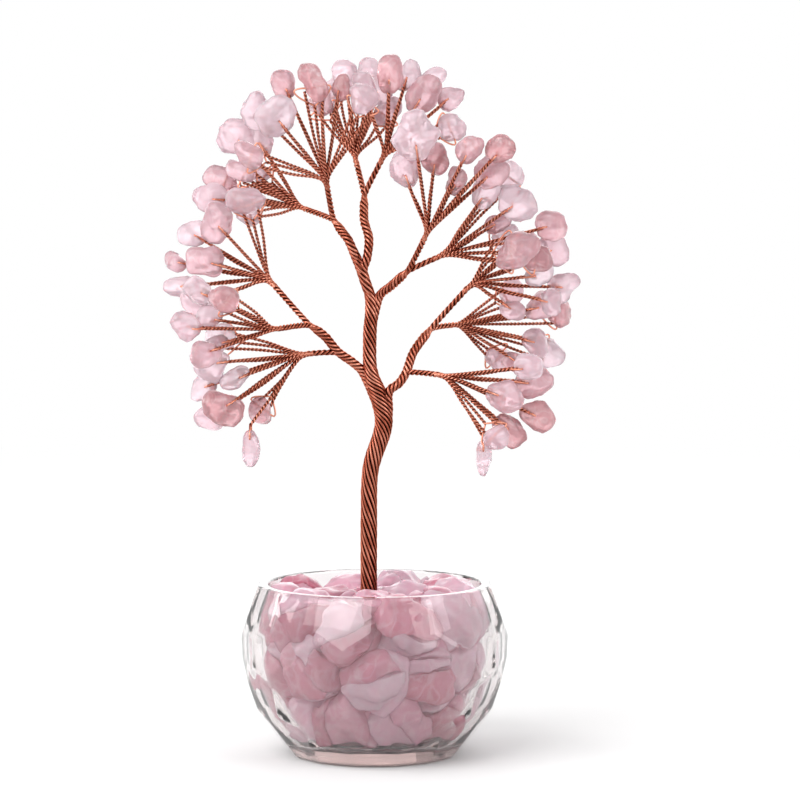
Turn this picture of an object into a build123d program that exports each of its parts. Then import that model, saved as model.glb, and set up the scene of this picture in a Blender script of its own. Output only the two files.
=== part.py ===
"""Rose quartz tree of twisted copper wire in a faceted glass bowl.

Millimetres, +Z up, front towards -Y, origin at the middle of the bowl's underside.
Heights of the tree are measured from the bowl's rim.
"""
import os
from math import atan2, cos, pi, radians, sin, sqrt
from random import Random

from build123d import *

os.makedirs("parts", exist_ok=True)

# Glass bowl
bowl_height = 43.0
belly_radius = 33.2
belly_height = 27.5
rim_radius = 29.0
foot_radius = 20.5
belly_wall = 3.0
rim_wall = 2.8
floor_thickness = 4.0
cavity_floor_radius = 19.5
rim_chamfer = 0.6
facets_per_row = 14
facet_rows = 4
facet_depth = 0.5
slope_step = 0.1

# Resin bed and root wires
resin_depth = 2.2
bond_gap = 0.05
root_count = 6
root_wire_radius = 0.4
root_reach = 9.0
root_bend = 0.7
root_height = 0.7

# Loose stones in the bowl
stone_size = 17.0
stone_gap = 0.35
stone_layers = 3
stone_headroom = 3.0
outer_ring = 10
inner_ring = 4
outer_ring_radius = 21.6
inner_ring_radius = 9.0
stone_scatter = 1.1
room_sides = 14
room_levels = 7
stone_corners = 7

# Trunk: a lower, an upper and a top run of the wire rope
trunk_foot_height = 1.5
trunk_radius = 2.15
trunk_upper_radius = 1.75
trunk_top_radius = 1.4
trunk_bend = 9.0
trunk_lower_run = [(-1.4, 17.0), (-0.9, 29.0), (2.3, 39.8), (1.2, 46.5), (-0.9, 52.5)]
trunk_upper_run = [(-0.9, 52.5), (-1.15, 62.0), (-0.8, 70.5)]
trunk_top_run = [(-0.8, 70.5), (-2.2, 75.5), (-5.1, 83.8)]

# Branches, stems and twigs
branch_radius = 1.2
branch_bend = 5.0
branch_ball = 1.5
knob_radius = 1.7
stem_radius = 0.72
stem_ball = 0.95
branch_seat_depth = 1.0
stem_seat_depth = 0.5
joint_gap = 0.15
knot_radius = 1.25
wire_radius = 0.25
twig_radius = 0.5
twig_gap = 0.08
knot_gap = 0.15
twig_sides = 8
wire_sides = 6

# Chips on the loops
chip_length = 8.6
chip_height = 8.2
chip_depth = 6.2
chip_gap = 0.25
hole_gap = 0.15
loop_gap = 0.2
fork_drop = 1.3
hole_level = 0.3
shoulder_level = 0.35
turn_share = 0.85
beside_share = 0.3
chip_corners = (6, 7, 8)
layer_pitch = 14.0
row_offset = 3.4
layer_count = 4
hub_share = 0.72

# Shape of a tumbled bead: shares of its height and width from end to end, and its scatter
bead_lower = [(-1.0, 0.42), (-0.6, 0.83)]
bead_upper = [(0.62, 0.8), (1.0, 0.36)]
bead_lean = 0.12
bead_waist = 0.08
bead_scatter = 0.18

# Drop chips
drop_length = 5.2
drop_height = 9.4
drop_depth = 4.4
drop_hole_level = 0.55
drop_fork = 3.2


def above_rim(x, y, height):
    return Vector(x, y, bowl_height + height)


def arc_radius(height, belly, end_radius, end_height):
    """Radius at a height on the arc that leaves the belly upright and ends at the given point."""
    drop = end_height - belly_height
    centre = (end_radius**2 - belly**2 + drop**2) / (2 * (end_radius - belly))
    return centre + sqrt((belly - centre) ** 2 - (height - belly_height) ** 2)


def outer_radius(height):
    if height < belly_height:
        return arc_radius(height, belly_radius, foot_radius, 0)
    return arc_radius(height, belly_radius, rim_radius, bowl_height)


cavity_belly = belly_radius - belly_wall
cavity_rim = rim_radius - rim_wall
resin_top = floor_thickness + resin_depth


def cavity_radius(height):
    if height < belly_height:
        return arc_radius(height, cavity_belly, cavity_floor_radius, floor_thickness)
    if height < bowl_height:
        return arc_radius(height, cavity_belly, cavity_rim, bowl_height)
    return cavity_rim


def tube(points, radius, bend):
    """Sweep a round wire along straight runs joined by arcs."""
    with BuildLine() as route:
        if len(points) > 2:
            FilletPolyline(*points, radius=bend)
        else:
            Line(*points)
    wire = route.wire()
    with BuildSketch(Plane(wire @ 0, z_dir=wire % 0)) as section:
        Circle(radius)
    sweep(section.sketch, path=wire)


def ball(centre, radius, direction, mode=Mode.ADD):
    with Locations(Plane(centre, z_dir=direction).location):
        Sphere(radius, mode=mode)


def solid_from(faces):
    """Closed solid from flat faces, each a list of corners."""
    return Solid(Shell([Face(Wire.make_polygon(face, close=True)) for face in faces]))


def bead(frame, length, height, depth, corners, draw):
    """Faces of a convex tumbled stone: an irregular outline, drawn in towards both ends."""
    turn = draw.uniform(0, 2 * pi)
    lean = draw.uniform(-bead_lean, bead_lean) * length / height
    waist = draw.uniform(-bead_waist, bead_waist)
    outline = []
    for number in range(corners):
        angle = turn + 2 * pi * (number + draw.uniform(-bead_scatter, bead_scatter)) / corners
        outline.append((cos(angle) * length / 2, sin(angle) * depth / 2))
    rings = []
    for level, share in bead_lower + [(waist, 1.0)] + bead_upper:
        rise = level * height / 2
        places = [Vector(x * share + lean * rise, y * share, rise) for x, y in outline]
        rings.append([frame.from_local_coords(place) for place in places])
    faces = [rings[0], rings[-1]]
    for low, high in zip(rings, rings[1:]):
        for number in range(corners):
            after = (number + 1) % corners
            faces.append([low[number], low[after], high[after], high[number]])
    return faces


def cut_back(faces, point, normal):
    """Clip a convex solid's faces by a plane and close the cut."""
    kept = []
    rim = {}
    for face in faces:
        levels = [(corner - point).dot(normal) for corner in face]
        if max(levels) <= 0:
            kept.append(face)
        elif min(levels) < 0:
            piece = []
            for number, corner in enumerate(face):
                after = (number + 1) % len(face)
                if levels[number] <= 0:
                    piece.append(corner)
                if levels[number] * levels[after] < 0:
                    share = levels[number] / (levels[number] - levels[after])
                    crossing = corner + (face[after] - corner) * share
                    piece.append(crossing)
                    rim[(round(crossing.X, 5), round(crossing.Y, 5), round(crossing.Z, 5))] = crossing
            kept.append(piece)
    if len(rim) > 2:
        corners = list(rim.values())
        flat = Plane(sum(corners, Vector()) * (1 / len(corners)), z_dir=normal)
        corners.sort(key=lambda corner: atan2(*tuple(flat.to_local_coords(corner))[:2]))
        kept.append(corners)
    return kept


# Bowl: rows of flats, staggered from row to row, round a smooth cavity
row_height = bowl_height / facet_rows
flat_rings = []
for row in range(facet_rows):
    height = (row + 0.5) * row_height
    slope = (outer_radius(height + slope_step) - outer_radius(height - slope_step)) / (2 * slope_step)
    apothem = outer_radius(height) - facet_depth * sqrt(1 + slope**2)
    turn = 180 * (row % 2) / facets_per_row
    with BuildPart() as flat_ring:
        for level in (0, bowl_height):
            with BuildSketch(Plane.XY.offset(level)):
                side = apothem + slope * (level - height)
                RegularPolygon(side, facets_per_row, major_radius=False, rotation=turn)
        loft(ruled=True)
    flat_rings.append(flat_ring.part)

with BuildPart() as glass_bowl:
    add(flat_rings[0])
    for ring in flat_rings[1:]:
        add(ring, mode=Mode.INTERSECT)
    with BuildSketch(Plane.XZ):
        with BuildLine():
            Line((0, floor_thickness), (cavity_floor_radius, floor_thickness))
            TangentArc((cavity_belly, belly_height), (cavity_floor_radius, floor_thickness), tangent=(0, -1))
            TangentArc((cavity_belly, belly_height), (cavity_rim, bowl_height), tangent=(0, 1))
            Polyline((cavity_rim, bowl_height), (0, bowl_height), (0, floor_thickness))
        make_face()
    revolve(axis=Axis.Z, mode=Mode.SUBTRACT)
    with BuildSketch(Plane.XZ):
        Polygon(
            (cavity_rim - rim_chamfer, bowl_height - rim_chamfer),
            (cavity_rim, bowl_height - rim_chamfer),
            (cavity_rim + rim_chamfer, bowl_height),
            (cavity_rim - rim_chamfer, bowl_height),
            align=None,
        )
    revolve(axis=Axis.Z, mode=Mode.SUBTRACT)
glass_bowl.part.label = "glass_bowl"
export_step(glass_bowl.part, "parts/glass_bowl.step")

# Trunk
trunk_foot = floor_thickness + trunk_foot_height
foot_x = trunk_lower_run[0][0]


def trunk_points(run):
    return [above_rim(x, 0, height) for x, height in run]


branches = {
    "left": dict(
        seat=(-0.75, 51.3), seat_radius=trunk_radius, bearing=140,
        path=[(-5.4, -0.6, 55.5), (-9.1, -1.6, 58.2), (-12.4, -2.8, 62.2), (-16.4, -4.0, 65.2)]),
    "right": dict(
        seat=(1.3, 46.0), seat_radius=trunk_radius, bearing=42,
        path=[(6.2, 0.8, 50.2), (8.0, 2.0, 53.0), (9.8, 4.0, 57.8), (14.4, 8.0, 63.8)]),
    "high_right": dict(
        seat=(-0.8, 70.5), seat_radius=trunk_upper_radius, bearing=38,
        path=[(4.0, -2.5, 74.5), (8.6, -7.0, 78.8)]),
    "shoulder": dict(
        seat=(-5.1, 83.8), seat_radius=trunk_top_radius, bearing=122,
        path=[(-7.9, 1.6, 87.8), (-10.4, 4.0, 91.2)]),
    "crown": dict(
        seat=(-4.1, 81.0), seat_radius=trunk_top_radius, bearing=18,
        path=[(-1.4, 1.4, 86.4), (-2.6, 4.2, 91.0), (-2.6, 8.0, 97.5)]),
}
for branch in branches.values():
    seat = above_rim(branch["seat"][0], 0, branch["seat"][1])
    bearing = radians(branch["bearing"])
    reach = branch["seat_radius"] + branch_seat_depth
    branch["pivot"] = seat + Vector(cos(bearing), 0, sin(bearing)) * reach
    branch["points"] = [branch["pivot"]] + [above_rim(*point) for point in branch["path"]]

with BuildPart() as trunk:
    tube([Vector(foot_x, 0, trunk_foot)] + trunk_points(trunk_lower_run), trunk_radius, trunk_bend)
    tube(trunk_points(trunk_upper_run), trunk_upper_radius, trunk_bend)
    tube(trunk_points(trunk_top_run), trunk_top_radius, trunk_bend)
    for run, radius in ((trunk_lower_run, trunk_radius), (trunk_upper_run, trunk_upper_radius),
                        (trunk_top_run, trunk_top_radius)):
        before, last = trunk_points(run)[-2:]
        ball(last, radius, last - before)
    for branch in branches.values():
        first, second = branch["points"][:2]
        ball(first, branch_ball + joint_gap, second - first, Mode.SUBTRACT)
trunk.part.label = "trunk"
export_step(trunk.part, "parts/trunk.step")


# Root wires, splayed from under the trunk, and the resin that holds them
def root_wire(number, radius):
    angle = 2 * pi * number / root_count
    outwards = Vector(cos(angle), sin(angle), 0)
    start = Vector(foot_x, 0, 0) + outwards * (trunk_radius - root_wire_radius - bond_gap)
    low = floor_thickness + root_height
    points = [
        start + Vector(0, 0, trunk_foot),
        start + Vector(0, 0, low),
        start + outwards * root_reach + Vector(0, 0, low),
    ]
    with BuildPart() as wire:
        tube(points, radius, root_bend)
    return wire.part


with BuildPart() as root_wires:
    add([root_wire(number, root_wire_radius) for number in range(root_count)])
root_wires.part.label = "root_wires"
export_step(root_wires.part, "parts/root_wires.step")

with BuildPart() as resin_bed:
    with BuildSketch(Plane.XZ):
        Polygon(
            (0, floor_thickness),
            (cavity_floor_radius - bond_gap, floor_thickness),
            (cavity_radius(resin_top) - bond_gap, resin_top),
            (0, resin_top),
            align=None,
        )
    revolve(axis=Axis.Z)
    with Locations((foot_x, 0, trunk_foot)):
        Cylinder(trunk_radius + bond_gap, resin_depth, align=(Align.CENTER, Align.CENTER, Align.MIN),
                 mode=Mode.SUBTRACT)
    add([root_wire(number, root_wire_radius + bond_gap) for number in range(root_count)], mode=Mode.SUBTRACT)
resin_bed.part.label = "resin_bed"
export_step(resin_bed.part, "parts/resin_bed.step")

# Loose stones: every stone is cut back to half way to its neighbours
stone_floor = resin_top + stone_gap
stone_pitch = (bowl_height - stone_headroom - stone_floor) / stone_layers
room_rise = (bowl_height - stone_floor) / (room_levels - 1)
room_heights = [stone_floor + room_rise * number for number in range(room_levels)]


def room_planes():
    """Flat walls just inside the bowl's cavity, and the floor."""
    planes = [(Vector(0, 0, stone_floor), Vector(0, 0, -1))]
    for low, high in zip(room_heights, room_heights[1:]):
        inner = (cavity_radius(low) - stone_gap) * cos(pi / room_sides)
        slope = (cavity_radius(high) - cavity_radius(low)) * cos(pi / room_sides) / (high - low)
        for number in range(room_sides):
            angle = 2 * pi * number / room_sides
            point = Vector(inner * cos(angle), inner * sin(angle), low)
            planes.append((point, Vector(cos(angle), sin(angle), -slope)))
    return planes


stone_draw = Random(11)
stone_places = []
for layer in range(stone_layers):
    height = stone_floor + (layer + 0.5) * stone_pitch
    rings = (("outer", outer_ring, outer_ring_radius), ("inner", inner_ring, inner_ring_radius))
    for kind, count, ring in rings:
        if layer == 0 and kind == "outer":
            ring = ring - (cavity_belly - cavity_radius(height))
        for number in range(count):
            angle = 2 * pi * (number + 0.5 * (layer % 2)) / count
            shift = [stone_draw.uniform(-stone_scatter, stone_scatter) for axis in range(3)]
            place = Vector(ring * cos(angle), ring * sin(angle), height) + Vector(*shift)
            stone_places.append((layer, kind, place))


def stone(index):
    layer, kind, place = stone_places[index]
    draw = Random(100 + index)
    axis = Vector(draw.uniform(-1, 1), draw.uniform(-1, 1), draw.uniform(-1, 1)).normalized()
    faces = bead(Plane(place, z_dir=axis), stone_size, stone_size, stone_size, stone_corners, draw)
    for other in range(len(stone_places)):
        offset = stone_places[other][2] - place
        if other != index:
            faces = cut_back(faces, place + offset * 0.5 - offset.normalized() * stone_gap / 2, offset)
    if kind == "inner":
        towards_trunk = Vector(foot_x - place.X, -place.Y, 0).normalized()
        clear = Vector(foot_x, 0, 0) - towards_trunk * (trunk_radius + stone_gap)
        faces = cut_back(faces, clear, towards_trunk)
    for point, outwards in room_planes():
        faces = cut_back(faces, point, outwards)
    return solid_from(faces)


def stone_group(wanted):
    return [stone(index) for index, (layer, kind, place) in enumerate(stone_places) if wanted(layer, kind)]


stone_groups = {
    "bottom_stones": lambda layer, kind: layer == 0,
    "middle_stones": lambda layer, kind: 0 < layer < stone_layers - 1,
    "top_stones": lambda layer, kind: layer == stone_layers - 1 and kind == "outer",
    "collar_stones": lambda layer, kind: layer == stone_layers - 1 and kind == "inner",
}
for name, wanted in stone_groups.items():
    with BuildPart() as stones:
        add(stone_group(wanted))
    stones.part.label = name
    export_step(stones.part, f"parts/{name}.step")

# Sprays: the branch and the branch point that carry each one, its depth layer from front to back,
# its hub, and its chips in a front and a back row as (across, height, size)
sprays = {
    "left_lower": dict(
        branch="left", point=2, layer=1, hub=(-17.9, 57.8), drop=(-30.6, 37.4, "front"),
        front=[(-40.4, 55.8, 1.2), (-34.5, 52.0, 0.85), (-37.6, 44.5, 1.2)],
        back=[(-38.5, 61.5, 0.95), (-42.9, 49.3, 0.9), (-40.4, 42.0, 0.95), (-28.5, 43.5, 0.8)]),
    "left_middle": dict(
        branch="left", point=4, layer=0, hub=(-24.4, 64.5),
        front=[(-45.6, 65.3, 1.0), (-36.4, 72.0, 0.85), (-41.0, 59.2, 1.0)],
        back=[(-38.2, 61.0, 0.85), (-40.0, 67.2, 0.8), (-43.2, 74.0, 0.95)]),
    "left_upper": dict(
        branch="left", point=4, layer=2, hub=(-26.6, 76.0),
        front=[(-42.4, 80.8, 1.35), (-39.9, 90.3, 1.15), (-44.9, 70.5, 1.0)],
        back=[(-50.0, 80.2, 0.85), (-49.5, 74.0, 0.95), (-45.9, 87.3, 0.95), (-32.1, 95.8, 0.95)]),
    "shoulder_side": dict(
        branch="shoulder", point=2, layer=3, hub=(-18.9, 94.0),
        front=[(-42.1, 96.3, 1.1), (-34.0, 102.8, 0.85), (-35.4, 111.8, 1.35)],
        back=[(-39.4, 101.0, 1.05), (-32.8, 92.8, 0.85), (-29.3, 102.6, 0.75), (-29.5, 110.5, 1.0)]),
    "shoulder_top": dict(
        branch="shoulder", point=2, layer=1, hub=(-11.9, 101.0),
        front=[(-31.0, 106.8, 0.85), (-24.4, 116.8, 1.35), (-15.4, 125.0, 1.15), (-2.1, 121.0, 0.95)],
        back=[(-28.9, 118.0, 1.0), (-22.2, 124.2, 0.9), (-13.2, 121.0, 0.8), (-8.6, 123.8, 0.85)]),
    "crown_left": dict(
        branch="crown", point=3, layer=3, hub=(-5.1, 106.8),
        front=[(-14.0, 120.0, 0.85), (-7.4, 127.0, 1.15), (1.0, 123.8, 1.0)],
        back=[(-11.5, 122.8, 0.85), (-1.6, 128.6, 0.9), (2.9, 118.5, 0.95)]),
    "crown_right": dict(
        branch="crown", point=3, layer=2, hub=(2.6, 107.5),
        front=[(-3.1, 124.8, 0.85), (3.9, 127.5, 1.1), (12.1, 122.3, 1.3), (19.9, 114.3, 0.95)],
        back=[(8.2, 127.2, 1.0), (13.9, 125.6, 1.05), (18.9, 121.6, 0.95)]),
    "high_right_top": dict(
        branch="high_right", point=2, layer=0, hub=(13.1, 88.2),
        front=[(10.1, 111.6, 1.5), (23.1, 108.8, 1.05), (30.6, 108.3, 0.95)],
        back=[(7.1, 103.5, 1.15), (14.8, 106.3, 0.95), (20.4, 101.3, 0.95), (28.6, 102.8, 1.1)]),
    "high_right_side": dict(
        branch="high_right", point=2, layer=1, hub=(17.1, 82.5),
        front=[(27.5, 97.9, 0.95), (35.4, 95.5, 1.35), (35.4, 83.4, 1.2)],
        back=[(34.0, 102.7, 0.85), (30.6, 90.3, 0.85), (43.7, 89.6, 1.0), (41.0, 81.2, 0.95)]),
    "right_upper": dict(
        branch="right", point=4, layer=2, hub=(24.4, 75.0),
        front=[(33.0, 86.4, 0.9), (41.4, 77.2, 1.0), (44.4, 70.4, 0.9), (35.0, 68.4, 0.85)],
        back=[(37.0, 84.8, 0.9), (45.2, 83.4, 1.05), (47.9, 73.8, 1.05)]),
    "right_middle": dict(
        branch="right", point=4, layer=3, hub=(21.1, 64.2),
        front=[(42.4, 68.7, 0.95), (41.4, 59.6, 1.05), (36.8, 54.4, 0.9)],
        back=[(34.8, 71.5, 0.9), (47.5, 66.5, 0.95), (44.8, 56.6, 1.05), (32.2, 54.9, 0.9)]),
    "right_lower": dict(
        branch="right", point=2, layer=1, hub=(17.4, 52.5), drop=(27.1, 33.9, "back"),
        front=[(37.9, 54.8, 0.95), (32.5, 47.3, 1.2), (30.6, 37.3, 0.85)],
        back=[(39.6, 50.6, 1.25), (41.0, 42.0, 1.0), (34.3, 38.4, 1.2)]),
}

depth_axis = Vector(0, 1, 0)
row_sides = {"front": -1, "back": 1}
leg_space = loop_gap + 2 * wire_radius
for spray in sprays.values():
    branch = branches[spray["branch"]]
    middle = (spray["layer"] - (layer_count - 1) / 2) * layer_pitch
    spray["middle"] = middle
    spray["hub"] = above_rim(spray["hub"][0], middle * hub_share, spray["hub"][1])
    fork = branch["points"][spray["point"]]
    at_end = spray["point"] == len(branch["points"]) - 1
    reach = (knob_radius if at_end else branch_radius) + stem_seat_depth
    spray["pivot"] = fork + (spray["hub"] - fork).normalized() * reach
    branch.setdefault("sockets", []).append((spray["pivot"], spray["hub"] - spray["pivot"]))

# Branches, each with a ball in its parent's socket and a knob where it divides
for name, branch in branches.items():
    with BuildPart() as wood:
        tube(branch["points"], branch_radius, branch_bend)
        ball(branch["pivot"], branch_ball, branch["points"][1] - branch["pivot"])
        ball(branch["points"][-1], knob_radius, branch["points"][-1] - branch["points"][-2])
        for pivot, direction in branch["sockets"]:
            ball(pivot, stem_ball + joint_gap, direction, Mode.SUBTRACT)
    wood.part.label = f"{name}_branch"
    export_step(wood.part, f"parts/{name}_branch.step")


def lay_out(spray, side):
    """Twig start, direction, chip frame and the free width of every chip of one row."""
    shift = row_sides[side]
    start = spray["hub"] + depth_axis * shift * (twig_radius + twig_gap)
    depth = spray["middle"] + shift * row_offset
    row = []
    for x, height, size in spray[side]:
        centre = above_rim(x, depth, height)
        along = (centre - start).normalized()
        across = depth_axis.cross(along).normalized()
        half_height = chip_height * size / 2
        row.append(dict(
            drop=False, centre=centre, along=along, across=across, size=size, start=start,
            half_height=half_height,
            hole=centre - along * half_height * hole_level,
            fork=centre - along * (half_height + fork_drop)))
    if spray.get("drop") and spray["drop"][2] == side:
        x, height, _ = spray["drop"]
        hole = above_rim(x, depth, height)
        fork = hole + Vector(0, 0, drop_fork)
        row.append(dict(
            drop=True, centre=hole - Vector(0, 0, drop_height / 2 * drop_hole_level), along=Vector(0, 0, -1),
            across=depth_axis, size=1, start=start, half_height=drop_height / 2, hole=hole, fork=fork))
    for chip in row:
        chip["twig"] = (chip["fork"] - start).normalized()
    for chip in row:
        if chip["drop"]:
            chip["room"], chip["breadth"] = drop_depth / 2, drop_length / 2
            continue
        chip["room"] = free_room(chip, row, leg_space)
        chip["breadth"] = chip_depth / 2
        if chip["room"] < turn_share * chip_length * chip["size"] / 2:
            chip["breadth"] = free_room(chip, row, 0)
            chip["room"] = min(chip_depth / 2, row_offset - chip_gap - leg_space)
            chip["across"] = chip["along"].cross(chip["across"])
    return row


def loop_corners(chip, half_width):
    """Corners of the wire loop: the fork, then round through the hole and back."""
    shoulder = chip["along"] * (-chip["half_height"] * shoulder_level)
    side = chip["across"] * half_width
    hole = chip["hole"]
    return [chip["fork"], hole + side + shoulder, hole + side, hole - side, hole - side + shoulder]


def free_room(chip, row, legs):
    """Half width that a chip may have across its twig, clear of its neighbours and their twigs."""
    room = chip_length * chip["size"] / 2
    low = chip["half_height"] * (hole_level + shoulder_level)
    for other in row:
        if other is chip:
            continue
        offset = other["centre"] - chip["centre"]
        side = abs(offset.dot(chip["across"])) / offset.length
        if side > beside_share:
            behind = max(0, -offset.dot(chip["along"]) / offset.length * low)
            room = min(room, (offset.length / 2 - chip_gap - (behind if legs else 0)) / side - legs)
        run = other["fork"] - other["start"]
        beside = chip["hole"] - other["start"]
        if 0 < beside.dot(other["twig"]) < run.length:
            lateral = (beside - other["twig"] * beside.dot(other["twig"])).length
            room = min(room, lateral - twig_radius - chip_gap - legs)
    return room


def make_chip(chip, row, draw):
    """A drilled chip, cut clear of its loop, its neighbours and the row planes."""
    room = chip["room"]
    centre = chip["centre"]
    frame = Plane(centre, x_dir=chip["across"], z_dir=chip["along"])
    corners = draw.choice(chip_corners)
    faces = bead(frame, 2 * room, 2 * chip["half_height"], 2 * chip["breadth"], corners, draw)
    if not chip["drop"]:
        for way in (-1, 1):
            row_wall = centre + depth_axis * way * (row_offset - chip_gap / 2)
            faces = cut_back(faces, row_wall, depth_axis * way)
            corner = loop_corners(chip, room + loop_gap + wire_radius)[1 if way > 0 else 4]
            outwards = (corner - chip["fork"]).cross(frame.y_dir).normalized()
            outwards = outwards if outwards.dot(centre - chip["fork"]) < 0 else outwards * -1
            faces = cut_back(faces, chip["fork"] - outwards * (wire_radius + loop_gap), outwards)
        for other in row:
            if other is not chip:
                faces = cut_clear(faces, chip, other)
    with BuildPart() as piece:
        add(solid_from(faces))
        with BuildSketch(Plane(chip["hole"], z_dir=chip["across"])):
            Circle(wire_radius + hole_gap)
        extrude(amount=chip_length, both=True, mode=Mode.SUBTRACT)
    return piece.part


def cut_clear(faces, chip, other):
    """Cut a chip back from a neighbour, from its loop and from its twig."""
    centre = chip["centre"]
    offset = other["centre"] - centre
    towards = offset.normalized()
    loop = loop_corners(other, other["room"] + loop_gap + wire_radius)[1:]
    nearest = min((corner - centre).dot(towards) for corner in loop) - wire_radius - chip_gap
    faces = cut_back(faces, centre + towards * min(offset.length / 2 - chip_gap / 2, nearest), towards)
    beside = centre - other["start"]
    along = beside.dot(other["twig"])
    if 0 < along < (other["fork"] - other["start"]).length + chip["half_height"]:
        aside = other["twig"] * along - beside
        clear = centre + aside - aside.normalized() * (twig_radius + chip_gap)
        faces = cut_back(faces, clear, aside)
    return faces


def prism(rings):
    """Faces of a closed or open chain of like polygons."""
    faces = []
    for low, high in rings:
        for number in range(len(low)):
            after = (number + 1) % len(low)
            faces.append([low[number], low[after], high[after], high[number]])
    return faces


def ring_of(frame, radius, sides):
    angles = [2 * pi * (number + 0.5) / sides for number in range(sides)]
    return [frame.from_local_coords(Vector(radius * cos(angle), radius * sin(angle), 0)) for angle in angles]


def make_twig(chip, row):
    """A twisted pair that widens from the knot, and its end opened into a loop through the chip's hole."""
    length = (chip["fork"] - chip["start"]).length + wire_radius
    narrowest = min([chip["twig"].get_angle(other["twig"]) for other in row if other is not chip])
    spread = sin(radians(narrowest) / 2)
    first = knot_radius + knot_gap
    full = max(first + wire_radius, (twig_radius + twig_gap) / spread)
    narrow_radius = min(twig_radius, first * spread - twig_gap)
    stations = [(first, narrow_radius), (full, twig_radius), (length, twig_radius)]
    rings = []
    for reach, radius in stations:
        side = chip["twig"].cross(depth_axis)
        frame = Plane(chip["start"] + chip["twig"] * reach, x_dir=side, z_dir=chip["twig"])
        rings.append(ring_of(frame, radius, twig_sides))
    twig_faces = [rings[0], rings[-1]] + prism(zip(rings, rings[1:]))

    corners = loop_corners(chip, chip["room"] + loop_gap + wire_radius)
    upright = chip["across"].cross(chip["along"])
    loop_rings = []
    for number, corner in enumerate(corners):
        before = (corner - corners[number - 1]).normalized().cross(upright)
        after = (corners[(number + 1) % len(corners)] - corner).normalized().cross(upright)
        mitre = (before + after) * (1 / (1 + before.dot(after)))
        angles = [2 * pi * (side + 0.5) / wire_sides for side in range(wire_sides)]
        spokes = [mitre * cos(angle) + upright * sin(angle) for angle in angles]
        loop_rings.append([corner + spoke * wire_radius for spoke in spokes])
    loop_faces = prism(zip(loop_rings, loop_rings[1:] + loop_rings[:1]))
    with BuildPart() as piece:
        add(solid_from(twig_faces))
        add(solid_from(loop_faces))
    return piece.part


def make_stem(spray):
    """A ball in the branch's socket, a straight stem and the knot that the twigs leave."""
    run = spray["hub"] - spray["pivot"]
    side = run.cross(depth_axis).normalized()
    ball_edge = sqrt(stem_ball**2 - stem_radius**2)
    knot_edge = run.length - sqrt(knot_radius**2 - stem_radius**2)
    tip = run.length + knot_radius
    with BuildPart() as piece:
        with BuildSketch(Plane(spray["pivot"], x_dir=side, z_dir=side.cross(run))):
            with BuildLine():
                ThreePointArc((0, -stem_ball), (stem_ball, 0), (stem_radius, ball_edge))
                Line((stem_radius, ball_edge), (stem_radius, knot_edge))
                ThreePointArc((stem_radius, knot_edge), (knot_radius, run.length), (0, tip))
                Line((0, tip), (0, -stem_ball))
            make_face()
        revolve(axis=Axis(spray["pivot"], run))
    return piece.part


for number, (name, spray) in enumerate(sprays.items()):
    with BuildPart() as stem:
        add(make_stem(spray))
    stem.part.label = f"{name}_stem"
    export_step(stem.part, f"parts/{name}_stem.step")

    chip_draw = Random(1000 + number)
    rows = [lay_out(spray, side) for side in row_sides]
    fixed_chips = []
    for row in rows:
        for chip in row:
            if chip["drop"]:
                with BuildPart() as drop_chip:
                    add(make_chip(chip, row, chip_draw))
                drop_chip.part.label = f"{name}_drop_chip"
                export_step(drop_chip.part, f"parts/{name}_drop_chip.step")
            else:
                fixed_chips.append(make_chip(chip, row, chip_draw))
    with BuildPart() as chips:
        add(fixed_chips)
    chips.part.label = f"{name}_chips"
    export_step(chips.part, f"parts/{name}_chips.step")

    with BuildPart() as twigs:
        add([make_twig(chip, row) for row in rows for chip in row])
    twigs.part.label = f"{name}_twigs"
    export_step(twigs.part, f"parts/{name}_twigs.step")
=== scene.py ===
import math
import random

import bmesh
import bpy
from mathutils import Matrix, Vector, kdtree, noise
from mathutils.geometry import interpolate_bezier


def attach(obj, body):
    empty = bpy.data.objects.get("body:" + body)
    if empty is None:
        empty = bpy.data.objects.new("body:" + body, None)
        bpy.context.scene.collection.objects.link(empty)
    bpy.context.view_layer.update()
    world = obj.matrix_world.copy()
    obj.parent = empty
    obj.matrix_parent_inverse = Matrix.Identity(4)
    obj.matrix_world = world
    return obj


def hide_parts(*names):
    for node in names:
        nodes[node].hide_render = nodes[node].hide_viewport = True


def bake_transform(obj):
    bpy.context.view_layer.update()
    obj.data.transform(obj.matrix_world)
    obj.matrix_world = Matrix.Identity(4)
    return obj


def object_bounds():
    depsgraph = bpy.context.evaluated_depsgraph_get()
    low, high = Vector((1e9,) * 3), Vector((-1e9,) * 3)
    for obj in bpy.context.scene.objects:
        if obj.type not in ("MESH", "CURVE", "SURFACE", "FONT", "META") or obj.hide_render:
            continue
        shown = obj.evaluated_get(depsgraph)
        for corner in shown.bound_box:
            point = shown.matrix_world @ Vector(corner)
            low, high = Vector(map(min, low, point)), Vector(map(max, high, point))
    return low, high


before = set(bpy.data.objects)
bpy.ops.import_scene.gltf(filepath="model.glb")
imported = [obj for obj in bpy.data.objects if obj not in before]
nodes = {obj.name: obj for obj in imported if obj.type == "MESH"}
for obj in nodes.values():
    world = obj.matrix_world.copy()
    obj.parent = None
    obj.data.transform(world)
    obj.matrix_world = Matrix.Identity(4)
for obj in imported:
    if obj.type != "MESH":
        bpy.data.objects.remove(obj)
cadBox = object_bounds()
scene = bpy.context.scene
mm = 0.001
rimHeight = 43.0  # mm, heights of the tree are above the bowl's rim
depthAxis = Vector((0, 1, 0))


def treePoint(x, y, height):
    return Vector((x, y, rimHeight + height)) * mm


def readOff(table, value):  # straight lines between the table's rows
    for (low, lowResult), (high, highResult) in zip(table, table[1:]):
        if value <= high:
            share = max(0, (value - low) / (high - low))
            return lowResult + (highResult - lowResult) * share
    return table[-1][1]


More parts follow.
